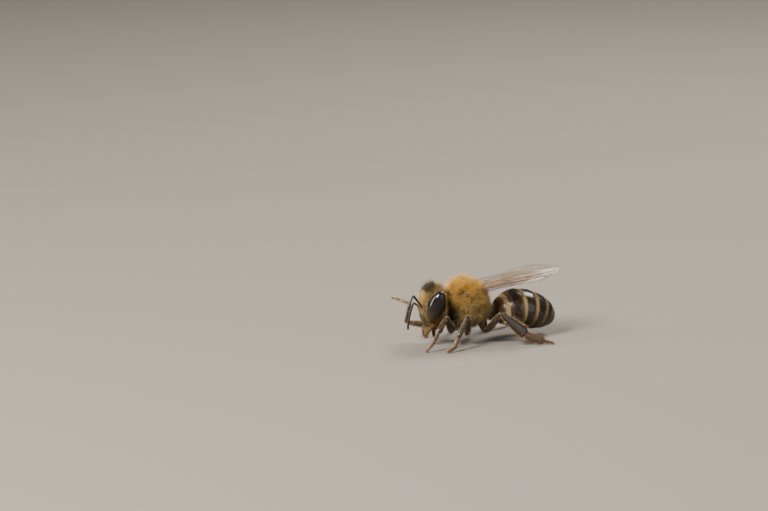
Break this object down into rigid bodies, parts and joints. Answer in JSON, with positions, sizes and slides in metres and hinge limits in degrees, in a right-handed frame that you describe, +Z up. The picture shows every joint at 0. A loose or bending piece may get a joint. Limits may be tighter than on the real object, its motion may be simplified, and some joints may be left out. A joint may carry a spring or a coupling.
{
  "type": "honey bee",
  "caption": "Honey bee worker, still and life size, standing with one foreleg lifted and its wings laid back over the body.",
  "frame": {"origin": "on the floor, under the middle of the bee's bounding box", "axes": "+Z up, the head towards -Y, the bee's left side towards +X"},
  "size_m": [0.0088, 0.0148, 0.0066],
  "materials": {
    "coat": "dense golden hair",
    "plate": "glossy dark shell with pale hair bands",
    "shell": "satin dark shell",
    "leg": "satin brown shell with hair",
    "eye": "glossy black",
    "wing": "clear brownish membrane"
  },
  "bodies": {
    "root": {"abdomen_1": "plate", "abdomen_2": "plate", "abdomen_3": "plate", "abdomen_4": "plate", "abdomen_5": "plate", "abdomen_6": "plate", "basitarsus_fore_left": "leg", "basitarsus_fore_right": "leg", "basitarsus_hind_left": "leg", "basitarsus_hind_right": "leg", "basitarsus_mid_left": "leg", "basitarsus_mid_right": "leg", "coxa_fore_left": "leg", "coxa_fore_right": "leg", "coxa_hind_left": "leg", "coxa_hind_right": "leg", "coxa_mid_left": "leg", "coxa_mid_right": "leg", "eye_left": "eye", "eye_right": "eye", "femur_fore_left": "leg", "femur_fore_right": "leg", "femur_hind_left": "leg", "femur_hind_right": "leg", "femur_mid_left": "leg", "femur_mid_right": "leg", "flagellum_left": "shell", "flagellum_right": "shell", "foot_fore_left": "leg", "foot_fore_right": "leg", "foot_hind_left": "leg", "foot_hind_right": "leg", "foot_mid_left": "leg", "foot_mid_right": "leg", "forewing_left": "wing", "forewing_right": "wing", "head": "coat", "hindwing_left": "wing", "hindwing_right": "wing", "mandible_left": "shell", "mandible_right": "shell", "neck": "shell", "scape_left": "shell", "scape_right": "shell", "tegula_left": "shell", "tegula_right": "shell", "thorax": "coat", "tibia_fore_left": "leg", "tibia_fore_right": "leg", "tibia_hind_left": "leg", "tibia_hind_right": "leg", "tibia_mid_left": "leg", "tibia_mid_right": "leg", "tongue": "shell", "waist": "shell"}
  },
  "joints": []
}
